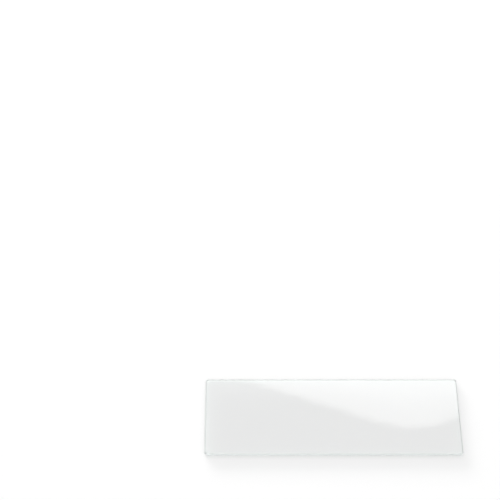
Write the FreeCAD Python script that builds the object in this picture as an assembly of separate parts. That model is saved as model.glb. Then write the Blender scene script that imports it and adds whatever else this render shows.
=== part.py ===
"""Plain microscope slide: one flat plate of clear soda-lime glass with ground edges.

The frame is in millimetres. X runs along the slide, Y across it and +Z is up.
The origin is the centre of the lower face, the face that the slide rests on.
"""
import os

import FreeCAD
import Part

# Driving dimensions of the plate.
LENGTH = 76.0        # X, over the two ground short edges
WIDTH = 26.0         # Y, over the two ground long edges
THICKNESS = 1.1      # Z, middle of the usual 1.0 to 1.2 mm band

# The edge grinding takes the sharpness off after the plate is cut.
CORNER_CLIP = 0.5    # leg of the 45 degree flat ground across each upright corner
ARRIS = 0.2          # leg of the 45 degree bevel ground round each face's rim

TOLERANCE = 1e-6     # slack when an edge or a vertex is picked by its place


def cut_plate():
    """Return the square-edged blank as it is cut from a sheet of glass."""
    corner = FreeCAD.Vector(-LENGTH / 2, -WIDTH / 2, 0)
    return Part.makeBox(LENGTH, WIDTH, THICKNESS, corner)


def upright_edges(plate):
    """Return the edges that run through the thickness of the plate."""
    return [edge for edge in plate.Edges
            if abs(edge.BoundBox.ZLength - THICKNESS) < TOLERANCE]


def rim_edges(plate):
    """Return the edges that lie in the upper face or in the lower face."""
    return [edge for edge in plate.Edges
            if edge.BoundBox.ZLength < TOLERANCE]


def ground_plate():
    """Return the finished slide: clipped corners, then an arris round both faces."""
    plate = cut_plate()
    plate = plate.makeChamfer(CORNER_CLIP, upright_edges(plate))
    return plate.makeChamfer(ARRIS, rim_edges(plate))


def check_solid(shape):
    """Stop the build if the plate isn't one valid solid of its full size."""
    if not shape.isValid() or len(shape.Solids) != 1:
        raise ValueError("the slide is not one valid solid")
    box = shape.BoundBox
    for size, wanted in ((box.XLength, LENGTH), (box.YLength, WIDTH), (box.ZLength, THICKNESS)):
        if abs(size - wanted) > TOLERANCE:
            raise ValueError(f"the slide measures {size}, and {wanted} was wanted")


def main():
    """Build the slide and write its STEP file."""
    slide = ground_plate()
    check_solid(slide)
    os.makedirs("parts", exist_ok=True)
    slide.Solids[0].exportStep("parts/slide.step")
    print(f"slide: {slide.Volume:.1f} cubic mm, {len(slide.Faces)} faces")


main()
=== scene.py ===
"""Looks of a plain microscope slide: a plate of clear glass with ground edges, on a pale studio floor.

The file is laid out as a Blender add-on and is run as a script. Lengths are in metres, in the
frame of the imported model: X along the slide, Y across it, +Z up, with the lower face at Z = 0.
"""
import math

import bmesh
import bpy
from bpy.props import FloatProperty, FloatVectorProperty, IntProperty, PointerProperty
from mathutils import Matrix, Vector, noise


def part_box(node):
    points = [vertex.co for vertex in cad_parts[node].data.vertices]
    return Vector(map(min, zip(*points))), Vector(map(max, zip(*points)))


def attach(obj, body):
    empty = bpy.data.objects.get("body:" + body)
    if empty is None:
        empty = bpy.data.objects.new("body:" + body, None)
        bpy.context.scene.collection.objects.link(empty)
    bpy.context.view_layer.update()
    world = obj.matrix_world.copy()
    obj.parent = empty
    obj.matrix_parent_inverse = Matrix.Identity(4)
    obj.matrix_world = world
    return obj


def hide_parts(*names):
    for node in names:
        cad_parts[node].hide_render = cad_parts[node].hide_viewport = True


bl_info = {
    "name": "Microscope slide",
    "version": (1, 0, 0),
    "blender": (4, 5, 0),
    "location": "3D View > Sidebar > Slide",
    "description": "Builds a ground-edge glass slide and the pale studio that it lies in",
    "category": "Object",
}

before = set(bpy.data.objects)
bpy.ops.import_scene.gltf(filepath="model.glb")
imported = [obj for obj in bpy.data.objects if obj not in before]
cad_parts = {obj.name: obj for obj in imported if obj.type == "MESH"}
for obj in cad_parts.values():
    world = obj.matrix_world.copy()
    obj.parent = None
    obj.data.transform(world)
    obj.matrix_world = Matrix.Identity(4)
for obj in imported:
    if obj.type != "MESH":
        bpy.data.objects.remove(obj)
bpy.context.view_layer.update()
LOW, HIGH = (Vector(corner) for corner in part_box("slide"))
MIDDLE = (LOW + HIGH) / 2
SIZE = HIGH - LOW

MM = 0.001


# ---------------------------------------------------------------- settings

class PlateSettings(bpy.types.PropertyGroup):
    """How the edges of the plate are ground, and what its glass is like."""

    corner_clip: FloatProperty(
        name="Corner clip", description="Leg of the flat ground across each upright corner",
        default=0.5 * MM, unit="LENGTH", precision=5)
    arris: FloatProperty(
        name="Arris", description="Leg of the bevel ground round the rim of each face",
        default=0.2 * MM, unit="LENGTH", precision=5)
    wander: FloatProperty(
        name="Arris wander", description="How far the arris strays inwards along the rim",
        default=0.006 * MM, unit="LENGTH", precision=6)
    step: FloatProperty(
        name="Rim step", description="Spacing of the cuts that let the rim stray",
        default=1.0 * MM, unit="LENGTH", precision=5)
    seed: IntProperty(name="Seed", description="Start of the random draws", default=7)
    wall_grind: FloatProperty(
        name="Wall grind", description="How coarse the walls are, from 0 for the arris to 1 for deep pits",
        default=0.36, min=0.0, max=1.0)
    # Painted shade: the clipped corners are mixed towards the coarse colour by this share, which gives them
    # dark dots.
    corner_grind_and_shade: FloatProperty(
        name="Corner grind", description="How coarse the clipped corners are, on the same scale",
        default=0.2, min=0.0, max=1.0)
    clear_colour: FloatVectorProperty(
        name="Clear glass", description="Tint of light through the polished faces",
        default=(0.995, 0.998, 0.997), subtype="COLOR", min=0.0, max=1.0)
    ground_colour: FloatVectorProperty(
        name="Ground glass", description="Colour of light off the finest grind",
        default=(0.925, 0.928, 0.926), subtype="COLOR", min=0.0, max=1.0)
    through_colour: FloatVectorProperty(
        name="Through light", description="Colour of light that comes through the finest grind",
        default=(0.922, 0.926, 0.925), subtype="COLOR", min=0.0, max=1.0)
    # On the clipped corners this colour also paints their shade, beside the real pits and lines.
    coarse_and_shade_colour: FloatVectorProperty(
        name="Coarse grind", description="Colour that both turn to in the deepest pits and lines",
        default=(0.50, 0.55, 0.535), subtype="COLOR", min=0.0, max=1.0)
    through_share: FloatProperty(
        name="Through share", description="How much of a frosted edge's light comes through it",
        default=0.65, min=0.0, max=1.0)
    # Painted shade: an edge seen from inside the glass has its through light darkened by this share.
    inside_painted_shade: FloatVectorProperty(
        name="Inside glow", description="Share of the through light left where an edge is seen from inside",
        default=(0.70, 0.69, 0.69), subtype="COLOR", min=0.0, max=1.0)
    clear_shade: FloatVectorProperty(
        name="Clear shade", description="Share of the lamps' light left by the glass at a polished face",
        default=(0.994, 0.996, 0.995), subtype="COLOR", min=0.0, max=1.0)
    ground_shade: FloatVectorProperty(
        name="Ground shade", description="Share of the lamps' light that a frosted edge lets in",
        default=(0.40, 0.42, 0.41), subtype="COLOR", min=0.0, max=1.0)
    inside_shade: FloatVectorProperty(
        name="Inside shade", description="Share of the lamps' light that a frosted edge lets out",
        default=(0.94, 0.962, 0.956), subtype="COLOR", min=0.0, max=1.0)
    seep_share: FloatProperty(
        name="Seep share", description="How much of an edge's light spreads over the floor under the slide",
        default=0.4, min=0.0, max=1.0)
    seep_colour: FloatVectorProperty(
        name="Seeping light", description="Colour of the light that spreads from an edge over the floor",
        default=(0.54, 0.68, 0.635), subtype="COLOR", min=0.0, max=1.0)


class StudioSettings(bpy.types.PropertyGroup):
    """The floor, the lamps, the room and the camera."""

    floor_half: FloatProperty(
        name="Floor reach", description="Half the side of the square floor",
        default=3.0, unit="LENGTH")
    floor_gap: FloatProperty(
        name="Air gap", description="Air between the lower face and the floor",
        default=0.02 * MM, unit="LENGTH", precision=6)
    floor_white: FloatProperty(
        name="Floor white", description="Share of light that the pale floor gives back",
        default=0.8, min=0.0, max=1.0)
    floor_pale_to: FloatProperty(
        name="Pale floor", description="From the slide to where the pale floor starts to turn plain white",
        default=0.15, unit="LENGTH")
    floor_white_from: FloatProperty(
        name="White floor", description="From the slide to where the floor is plain white",
        default=0.6, unit="LENGTH")
    box_distance: FloatProperty(
        name="Softbox distance", description="From the slide to the softbox behind it",
        default=1.2, unit="LENGTH")
    box_width: FloatProperty(
        name="Softbox width", description="Long side of the softbox", default=0.8, unit="LENGTH")
    box_height: FloatProperty(
        name="Softbox height", description="Short side of the softbox", default=0.6, unit="LENGTH")
    box_round: FloatProperty(
        name="Softbox rounding", description="Radius of the corners of the softbox",
        default=0.12, unit="LENGTH")
    box_bearing: FloatProperty(
        name="Softbox bearing", description="How far round to the right of straight behind it hangs",
        default=math.radians(-2.8), subtype="ANGLE")
    box_elevation: FloatProperty(
        name="Softbox elevation", description="How high the softbox hangs",
        default=math.radians(42.1), subtype="ANGLE")
    box_tilt: FloatProperty(
        name="Softbox tilt", description="How far the right side of the softbox is turned up",
        default=math.radians(20.5), subtype="ANGLE")
    box_strength: FloatProperty(
        name="Softbox strength", description="Brightness of the softbox, where 1 is white",
        default=1.87, min=0.0)
    strip_power: FloatProperty(
        name="Strip lamp", description="Power of the low strip lamp that draws the soft shadow",
        default=17.0, min=0.0, unit="POWER")
    top_power: FloatProperty(
        name="Top lamp", description="Power of the big soft lamp overhead",
        default=22.6, min=0.0, unit="POWER")
    room_strength: FloatProperty(
        name="Room", description="Brightness of the room above the sweep, and of its light all round",
        default=0.3, min=0.0)
    sweep_height: FloatProperty(
        name="Sweep height", description="How high the white sweep stands round the slide",
        default=math.radians(20.0), subtype="ANGLE")
    sweep_lean: FloatProperty(
        name="Sweep lean", description="How much higher the sweep stands on one side",
        default=0.09, min=0.0)
    sweep_bearing: FloatProperty(
        name="Sweep bearing", description="How far round to the right the higher side is",
        default=math.radians(-60.0), subtype="ANGLE")
    sweep_softness: FloatProperty(
        name="Sweep softness", description="How gently the top of the sweep fades",
        default=0.028, min=0.0)
    lens: FloatProperty(
        name="Lens", description="Focal length in millimetres on a 36 mm wide sensor",
        default=105.0, min=1.0)
    camera_elevation: FloatProperty(
        name="Camera elevation", description="Height of the camera above the horizon",
        default=math.radians(52.3), subtype="ANGLE")
    camera_distance: FloatProperty(
        name="Camera distance", description="From the camera to the spot on the floor it points at",
        default=0.4754, unit="LENGTH", precision=4)
    aim: FloatVectorProperty(
        name="Aim", description="Spot on the floor that the camera points at, behind the slide",
        default=(-0.0247, 0.0634, 0.0), subtype="TRANSLATION", precision=4)


# ---------------------------------------------------------------- shared helpers

def node_of(tree, kind, values=None, **settings):
    """Add a node, set its properties, and set or link the inputs named in values."""
    node = tree.nodes.new(kind)
    for name, value in settings.items():
        setattr(node, name, value)
    for name, value in (values or {}).items():
        if isinstance(value, bpy.types.NodeSocket):
            tree.links.new(value, node.inputs[name])
        else:
            node.inputs[name].default_value = value
    return node


def maths(tree, operation, *operands, clamp=False):
    """Add a Math node and return its output. Each operand is a socket or a number."""
    node = node_of(tree, "ShaderNodeMath", dict(enumerate(operands)), operation=operation)
    node.use_clamp = clamp
    return node.outputs[0]


def new_object(name, bm):
    """Turn a bmesh into a linked object that sits at the origin."""
    mesh = bpy.data.meshes.new(name)
    bm.to_mesh(mesh)
    bm.free()
    made = bpy.data.objects.new(name, mesh)
    bpy.context.scene.collection.objects.link(made)
    return made


def new_material(name):
    """Make an empty node material and return it with its tree and its output node."""
    material = bpy.data.materials.new(name)
    material.use_nodes = True
    tree = material.node_tree
    tree.nodes.clear()
    return material, tree, node_of(tree, "ShaderNodeOutputMaterial")


def heading(bearing, elevation):
    """Return the unit vector at a bearing to the right of +Y and a height above the horizon."""
    flat = math.cos(elevation)
    return Vector((math.sin(bearing) * flat, math.cos(bearing) * flat, math.sin(elevation)))


# ---------------------------------------------------------------- the shape of the plate

POLISHED, GROUND = 0, 1      # material slots of the plate
HARDLY, MOSTLY = 0.1, 0.9    # a part of a unit normal under the first is none, and over the second all
SAME_SPOT = 1e-7             # a cut this close to a vertex goes through it

LONG_WAVE = 6 * MM           # wavelengths of the arris's wander
SHORT_WAVE = 1.3 * MM
SHORT_SHARE = 0.5            # strength of the short wave beside the long one
MEAN_SHARE = 0.5             # mean of the wander, as a share of its setting


def cut_blank():
    """Return the square-edged blank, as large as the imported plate."""
    bm = bmesh.new()
    place = Matrix.Translation(MIDDLE) @ Matrix.Diagonal((*SIZE, 1.0))
    bmesh.ops.create_cube(bm, size=1.0, matrix=place)
    return bm


def rise(edge):
    """Return how much higher one end of an edge is than the other."""
    return abs(edge.verts[0].co.z - edge.verts[1].co.z)


def grind(bm, edges, leg):
    """Bevel the edges at 45 degrees."""
    bmesh.ops.bevel(bm, geom=edges, offset=leg, offset_type="OFFSET", segments=1,
                    profile=0.5, affect="EDGES", material=-1)


def grind_edges(bm, plate):
    """Grind the upright corners, then the rim of both faces, and mark how coarse each face is, with painted
    shade on the corners.
    """
    grind(bm, [edge for edge in bm.edges if rise(edge) > SIZE.z / 2], plate.corner_clip)
    grind(bm, [edge for edge in bm.edges if rise(edge) < SIZE.z / 2], plate.arris)
    bm.normal_update()
    coarse = bm.faces.layers.float.new("coarse")
    for face in bm.faces:
        along, across, up = (abs(part) for part in face.normal)
        face.material_index = POLISHED if up > MOSTLY else GROUND
        if min(along, across) > HARDLY:
            # Painted shade for the dark corner dots, carried in the grind mark.
            face[coarse] = plate.corner_grind_and_shade
        elif up < HARDLY:
            face[coarse] = plate.wall_grind


def cut_across(bm, axis, spacing):
    """Cut the plate into strips square to one axis, so that the rim can stray."""
    normal = Vector((0.0, 0.0, 0.0))
    normal[axis] = 1.0
    cuts = round(SIZE[axis] / spacing)
    for index in range(1, cuts):
        at = Vector(MIDDLE)
        at[axis] = LOW[axis] + SIZE[axis] * index / cuts
        geometry = bm.verts[:] + bm.edges[:] + bm.faces[:]
        bmesh.ops.bisect_plane(bm, geom=geometry, plane_co=at, plane_no=normal, dist=SAME_SPOT)


def wander_at(spot, plate):
    """Return how far the rim strays inwards at a spot on it."""
    level = spot.z / MM
    slow = noise.noise(spot / LONG_WAVE + Vector((plate.seed, 0, level)))
    quick = noise.noise(spot / SHORT_WAVE + Vector((0, plate.seed, level)))
    return plate.wander * max(0.0, MEAN_SHARE + slow + SHORT_SHARE * quick)


def stray_rim(bm, plate):
    """Let the inner line of each arris wander inwards, within the plane of its face."""
    rim_width = 2 * plate.arris
    for vert in bm.verts:
        if len({face.material_index for face in vert.link_faces}) < 2:
            continue
        reach = wander_at(vert.co, plate)
        inside_x = SIZE.x / 2 - abs(vert.co.x)
        inside_y = SIZE.y / 2 - abs(vert.co.y)
        if inside_x < rim_width:
            vert.co.x -= math.copysign(reach, vert.co.x)
        if inside_y < rim_width:
            vert.co.y -= math.copysign(reach, vert.co.y)


def build_plate(plate):
    """Return the finished plate as an object."""
    bm = cut_blank()
    grind_edges(bm, plate)
    cut_across(bm, 0, plate.step)
    cut_across(bm, 1, plate.step)
    stray_rim(bm, plate)
    bmesh.ops.recalc_face_normals(bm, faces=bm.faces[:])
    return new_object("glass_slide", bm)


# ---------------------------------------------------------------- the glass of the plate

GLASS_IOR = 1.52             # index of refraction of soda-lime glass
HEAD_ON_SHARE = 0.97         # light that crosses a bare surface which it meets head on
GRAZING_LOSS = 0.9           # how much less crosses at a grazing angle
GRAZING_POWER = 5.0          # how late that loss sets in as the light slants
RIPPLE_HEIGHT = 0.0025 * MM  # relief of the polished faces
GRIND_HEIGHT = 0.003 * MM    # relief of the ground edges
PIT_DEPTH = 0.35             # how far a pit goes from fine grind to coarse
LINE_DEPTH = 0.15            # how far a line goes


def bare_surface(tree, tint):
    """Return the colour of light past one bare glass surface, which a grazing ray hardly crosses."""
    slant = node_of(tree, "ShaderNodeLayerWeight", {"Blend": 0.5}).outputs["Facing"]
    grazing = maths(tree, "POWER", slant, GRAZING_POWER)
    crossing = maths(tree, "MULTIPLY_ADD", grazing, -GRAZING_LOSS, HEAD_ON_SHARE)
    return node_of(tree, "ShaderNodeVectorMath", {0: tint, "Scale": crossing},
                   operation="SCALE").outputs[0]


def let_lamps_by(tree, shader, floor_view, pane):
    """Swap a shader where light crosses it on its way to the floor.

    The lamps' own light meets the pane. Light on its way to the floor from elsewhere meets the floor view.
    """
    path = node_of(tree, "ShaderNodeLightPath").outputs
    for ray, instead in (("Is Diffuse Ray", floor_view), ("Is Shadow Ray", pane)):
        shader = node_of(tree, "ShaderNodeMixShader", {
            0: path[ray], 1: shader, 2: instead}).outputs[0]
    return shader


def polished_glass(plate):
    """Return the polished glass of the two faces, with a breath of haze and a float ripple."""
    material, tree, output = new_material("polished_glass")
    place = node_of(tree, "ShaderNodeTexCoord").outputs["Object"]
    haze = node_of(tree, "ShaderNodeTexNoise", {"Vector": place, "Scale": 90.0, "Detail": 4.0})
    rough = node_of(tree, "ShaderNodeMapRange", {
        "Value": haze.outputs["Fac"], "From Min": 0.35, "From Max": 0.75,
        "To Min": 0.0, "To Max": 0.02})
    ripple = node_of(tree, "ShaderNodeTexNoise", {"Vector": place, "Scale": 220.0, "Detail": 1.0})
    bump = node_of(tree, "ShaderNodeBump", {"Height": ripple.outputs["Fac"], "Distance": RIPPLE_HEIGHT})
    glass = node_of(tree, "ShaderNodeBsdfPrincipled", {
        "Base Color": (*plate.clear_colour, 1.0), "Roughness": rough.outputs[0], "IOR": GLASS_IOR,
        "Transmission Weight": 1.0, "Normal": bump.outputs[0]})
    pane = node_of(tree, "ShaderNodeBsdfTransparent",
                   {"Color": bare_surface(tree, plate.clear_shade)}).outputs[0]
    shader = let_lamps_by(tree, glass.outputs[0], pane, pane)
    tree.links.new(shader, output.inputs["Surface"])
    return material


def wheel_marks(tree):
    """Return the marks that the wheel leaves: fine grain, and streaks that run along the edges."""
    place = node_of(tree, "ShaderNodeTexCoord").outputs["Object"]
    along = node_of(tree, "ShaderNodeMapping", {"Vector": place, "Scale": (1.0, 1.0, 30.0)})
    streaks = node_of(tree, "ShaderNodeTexNoise",
                      {"Vector": along.outputs[0], "Scale": 700.0, "Detail": 3.0})
    grain = node_of(tree, "ShaderNodeTexNoise", {"Vector": place, "Scale": 14000.0, "Detail": 2.0})
    return grain.outputs["Fac"], streaks.outputs["Fac"]


def grind_and_shade_depth(tree, grain, streaks):
    """Return how deep the grind is, from 0 to 1: each face's own coarseness, painted shade on the clipped
    corners, then its pits and lines.
    """
    coarse = node_of(tree, "ShaderNodeAttribute", attribute_name="coarse").outputs["Fac"]
    pits, lines = (node_of(tree, "ShaderNodeMapRange", {
        "Value": mark, "From Min": 0.4, "From Max": 0.7, "To Max": deepest}).outputs[0]
        for mark, deepest in ((grain, PIT_DEPTH), (streaks, LINE_DEPTH)))
    return maths(tree, "ADD", maths(tree, "ADD", coarse, pits), lines, clamp=True)


def frosted_look(tree, plate, marks, normal, inside):
    """Return what the eye sees of a frosted edge.

    Part of the light that meets it comes back and part goes through, as in real frosted glass.
    """
    grain, streaks = marks
    grind_and_shade = grind_and_shade_depth(tree, grain, streaks)
    back, through = (node_of(tree, "ShaderNodeMixRGB", {
        "Fac": grind_and_shade, "Color1": (*fine, 1.0), "Color2": (*plate.coarse_and_shade_colour, 1.0)}).outputs[0]
        for fine in (plate.ground_colour, plate.through_colour))
    rough = node_of(tree, "ShaderNodeMapRange", {
        "Value": streaks, "From Min": 0.3, "From Max": 0.7, "To Min": 0.55, "To Max": 0.75})
    frost = node_of(tree, "ShaderNodeBsdfPrincipled", {
        "Base Color": back, "Roughness": rough.outputs[0], "IOR": GLASS_IOR, "Normal": normal})
    # Painted shade: seen from inside the glass, the through light is darkened by a set share.
    seen = node_of(tree, "ShaderNodeMixRGB", {
        "Fac": inside, "Color1": through, "Color2": (*plate.inside_painted_shade, 1.0)},
        blend_type="MULTIPLY").outputs[0]
    glow = node_of(tree, "ShaderNodeBsdfTranslucent", {"Color": seen, "Normal": normal})
    return node_of(tree, "ShaderNodeMixShader", {
        0: plate.through_share, 1: frost.outputs[0], 2: glow.outputs[0]}).outputs[0]


def frosted_pane(tree, plate, inside):
    """Return the thin pane that stands for a frosted edge in the lamps' light."""
    shade = node_of(tree, "ShaderNodeMixRGB", {
        "Fac": inside, "Color1": (*plate.ground_shade, 1.0),
        "Color2": bare_surface(tree, plate.inside_shade)})
    return node_of(tree, "ShaderNodeBsdfTransparent", {"Color": shade.outputs[0]}).outputs[0]


def seeping_pane(tree, plate, pane, normal, inside):
    """Return the pane with part of the light from inside spread over the floor."""
    seep = node_of(tree, "ShaderNodeBsdfTranslucent", {
        "Color": (*plate.seep_colour, 1.0), "Normal": normal})
    share = maths(tree, "MULTIPLY", inside, plate.seep_share)
    return node_of(tree, "ShaderNodeMixShader", {0: share, 1: pane, 2: seep.outputs[0]}).outputs[0]


def ground_glass(plate):
    """Return the frosted glass of the ground edges, streaked along them by the wheel."""
    material, tree, output = new_material("ground_glass")
    marks = wheel_marks(tree)
    bump = node_of(tree, "ShaderNodeBump", {
        "Height": maths(tree, "ADD", *marks), "Distance": GRIND_HEIGHT}).outputs[0]
    inside = node_of(tree, "ShaderNodeNewGeometry").outputs["Backfacing"]
    look = frosted_look(tree, plate, marks, bump, inside)
    pane = frosted_pane(tree, plate, inside)
    floor_view = seeping_pane(tree, plate, pane, bump, inside)
    shader = let_lamps_by(tree, look, floor_view, pane)
    tree.links.new(shader, output.inputs["Surface"])
    return material


class SLIDE_OT_plate(bpy.types.Operator):
    """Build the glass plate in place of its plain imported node"""

    bl_idname = "slide.plate"
    bl_label = "Glass slide"

    def execute(self, context):
        plate = context.scene.slide_plate
        piece = build_plate(plate)
        for finish in (polished_glass(plate), ground_glass(plate)):
            piece.data.materials.append(finish)
        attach(piece, "root")
        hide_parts("slide")
        return {"FINISHED"}


# ---------------------------------------------------------------- the studio

GLOW_STEPS = ((0.01, 0.78), (0.03, 1.0))     # widths of the softbox's rims, and how bright each ends


def seen_directly(tree):
    """Return 1 for rays that show a background: from the camera, off a gloss or through glass."""
    path = node_of(tree, "ShaderNodeLightPath").outputs
    seen = maths(tree, "MAXIMUM", path["Is Camera Ray"], path["Is Glossy Ray"])
    return maths(tree, "MAXIMUM", seen, path["Is Transmission Ray"])


def pale_floor(studio):
    """Return the floor's pale paint. Away from the slide it turns to plain white, as a sweep does."""
    material, tree, output = new_material("pale_floor")
    place = node_of(tree, "ShaderNodeTexCoord").outputs["Object"]
    away = node_of(tree, "ShaderNodeVectorMath", {0: place}, operation="LENGTH").outputs["Value"]
    far = node_of(tree, "ShaderNodeMapRange", {
        "Value": away, "From Min": studio.floor_pale_to, "From Max": studio.floor_white_from},
        interpolation_type="SMOOTHSTEP").outputs[0]
    lift = maths(tree, "MULTIPLY_ADD", far, studio.floor_white, 1.0 - studio.floor_white)
    matt = node_of(tree, "ShaderNodeMapRange", {
        "Value": far, "To Min": studio.floor_white, "To Max": 0.0}).outputs[0]
    diffuse = node_of(tree, "ShaderNodeBsdfDiffuse", {"Color": matt})
    glow = node_of(tree, "ShaderNodeEmission", {
        "Strength": maths(tree, "MULTIPLY", lift, seen_directly(tree))})
    both = node_of(tree, "ShaderNodeAddShader", {0: diffuse.outputs[0], 1: glow.outputs[0]})
    tree.links.new(both.outputs[0], output.inputs["Surface"])
    return material


def lay_floor(studio):
    """Lay the pale floor a hair's breadth under the slide."""
    bm = bmesh.new()
    bmesh.ops.create_grid(bm, x_segments=8, y_segments=8, size=studio.floor_half,
                          matrix=Matrix.Translation((0.0, 0.0, LOW.z - studio.floor_gap)))
    floor = new_object("floor", bm)
    floor.data.materials.append(pale_floor(studio))


def cut_softbox(studio, place):
    """Return a rounded cloth whose glow grows from nothing at its rim."""
    bm = bmesh.new()
    shape = Matrix.Diagonal((studio.box_width, studio.box_height, 1.0, 1.0))
    bmesh.ops.create_grid(bm, x_segments=1, y_segments=1, size=0.5, matrix=shape)
    bmesh.ops.bevel(bm, geom=bm.verts[:], offset=studio.box_round, offset_type="OFFSET",
                    segments=12, profile=0.5, affect="VERTICES", material=-1)
    glow = bm.verts.layers.float.new("glow")
    for width, level in GLOW_STEPS:
        middle = max(bm.faces, key=lambda face: face.calc_area())
        bmesh.ops.inset_region(bm, faces=[middle], thickness=width, use_boundary=True,
                               use_even_offset=True)
        for vert in max(bm.faces, key=lambda face: face.calc_area()).verts:
            vert[glow] = level
    bmesh.ops.transform(bm, matrix=place, verts=bm.verts)
    return new_object("softbox", bm)


def softbox_cloth(studio):
    """Return the softbox's glowing cloth, which fades into the room at its rim."""
    material, tree, output = new_material("softbox_cloth")
    glow = node_of(tree, "ShaderNodeAttribute", attribute_name="glow").outputs["Fac"]
    strength = node_of(tree, "ShaderNodeMapRange", {
        "Value": glow, "To Min": studio.room_strength, "To Max": studio.box_strength})
    light = node_of(tree, "ShaderNodeEmission", {"Strength": strength.outputs[0]})
    tree.links.new(light.outputs[0], output.inputs["Surface"])
    return material


def hang_softbox(studio):
    """Hang the softbox behind the slide, facing it."""
    away = heading(studio.box_bearing, studio.box_elevation)
    turn = (-away).to_track_quat("Z", "Y").to_matrix().to_4x4()
    place = (Matrix.Translation(MIDDLE + away * studio.box_distance) @ turn
             @ Matrix.Rotation(studio.box_tilt, 4, "Z"))
    softbox = cut_softbox(studio, place)
    softbox.data.materials.append(softbox_cloth(studio))
    softbox.visible_camera = False


def hang_lamp(name, power, width, height, bearing, elevation, distance):
    """Hang one rectangular lamp that faces the slide. Its bearing and elevation are in degrees."""
    lamp = bpy.data.lights.new(name, "AREA")
    lamp.shape = "RECTANGLE"
    lamp.size = width
    lamp.size_y = height
    lamp.energy = power
    holder = bpy.data.objects.new(name, lamp)
    away = heading(math.radians(bearing), math.radians(elevation))
    holder.location = MIDDLE + away * distance
    holder.rotation_euler = away.to_track_quat("Z", "Y").to_euler()
    holder.visible_camera = False
    bpy.context.scene.collection.objects.link(holder)


def hang_lamps(studio):
    """Hang the low strip lamp behind the slide and the big soft lamp over the camera."""
    hang_lamp("strip_lamp", studio.strip_power, width=0.8, height=0.2,
              bearing=-24.0, elevation=9.5, distance=1.2)
    hang_lamp("top_lamp", studio.top_power, width=1.4, height=1.2,
              bearing=160.0, elevation=60.0, distance=2.0)


def light_room(studio):
    """Give the room a white sweep all round, which rises higher on one side, and a greyer ceiling."""
    world = bpy.data.worlds.new("room")
    bpy.context.scene.world = world
    world.use_nodes = True
    tree = world.node_tree
    tree.nodes.clear()
    way = node_of(tree, "ShaderNodeTexCoord").outputs["Generated"]
    lean = heading(studio.sweep_bearing, 0.0) * -studio.sweep_lean + Vector((0.0, 0.0, 1.0))
    height = node_of(tree, "ShaderNodeVectorMath", {0: way, 1: lean},
                     operation="DOT_PRODUCT").outputs["Value"]
    rim = math.sin(studio.sweep_height)
    sweep = node_of(tree, "ShaderNodeMapRange", {
        "Value": height, "From Min": rim + studio.sweep_softness,
        "From Max": rim - studio.sweep_softness}, interpolation_type="SMOOTHSTEP").outputs[0]
    white = maths(tree, "MULTIPLY", sweep, seen_directly(tree))
    strength = maths(tree, "MULTIPLY_ADD", white, 1.0 - studio.room_strength, studio.room_strength)
    light = node_of(tree, "ShaderNodeBackground", {
        "Color": (1.0, 1.0, 1.0, 1.0), "Strength": strength})
    output = node_of(tree, "ShaderNodeOutputWorld")
    tree.links.new(light.outputs[0], output.inputs["Surface"])


def place_camera(studio):
    """Set up the camera at the viewing angle."""
    camera = bpy.data.cameras.new("camera")
    camera.lens = studio.lens
    holder = bpy.data.objects.new("camera", camera)
    towards = heading(0.0, -studio.camera_elevation)
    holder.location = Vector(studio.aim) - towards * studio.camera_distance
    holder.rotation_euler = towards.to_track_quat("-Z", "Y").to_euler()
    bpy.context.scene.collection.objects.link(holder)
    bpy.context.scene.camera = holder


class SLIDE_OT_studio(bpy.types.Operator):
    """Set up the floor, the lamps, the room and the camera"""

    bl_idname = "slide.studio"
    bl_label = "Studio"

    def execute(self, context):
        studio = context.scene.slide_studio
        lay_floor(studio)
        hang_softbox(studio)
        hang_lamps(studio)
        light_room(studio)
        place_camera(studio)
        context.scene.view_settings.view_transform = "Standard"
        return {"FINISHED"}


# ---------------------------------------------------------------- add-on

class SLIDE_PT_sidebar(bpy.types.Panel):
    """Lists the steps and the sizes that a user would change"""

    bl_label = "Microscope slide"
    bl_idname = "SLIDE_PT_sidebar"
    bl_space_type = "VIEW_3D"
    bl_region_type = "UI"
    bl_category = "Slide"

    def draw(self, context):
        for settings, operator in ((context.scene.slide_plate, SLIDE_OT_plate),
                                   (context.scene.slide_studio, SLIDE_OT_studio)):
            box = self.layout.box()
            box.operator(operator.bl_idname)
            for name in settings.__annotations__:
                box.prop(settings, name)


CLASSES = (PlateSettings, StudioSettings, SLIDE_OT_plate, SLIDE_OT_studio, SLIDE_PT_sidebar)


def register():
    """Register the classes and hang their settings on the scene."""
    for each in CLASSES:
        bpy.utils.register_class(each)
    bpy.types.Scene.slide_plate = PointerProperty(type=PlateSettings)
    bpy.types.Scene.slide_studio = PointerProperty(type=StudioSettings)


def unregister():
    """Take the settings and the classes away again."""
    del bpy.types.Scene.slide_studio
    del bpy.types.Scene.slide_plate
    for each in reversed(CLASSES):
        bpy.utils.unregister_class(each)


def main():
    """Build the slide and its studio."""
    register()
    bpy.ops.slide.plate()
    bpy.ops.slide.studio()


if __name__ == "__main__":
    main()
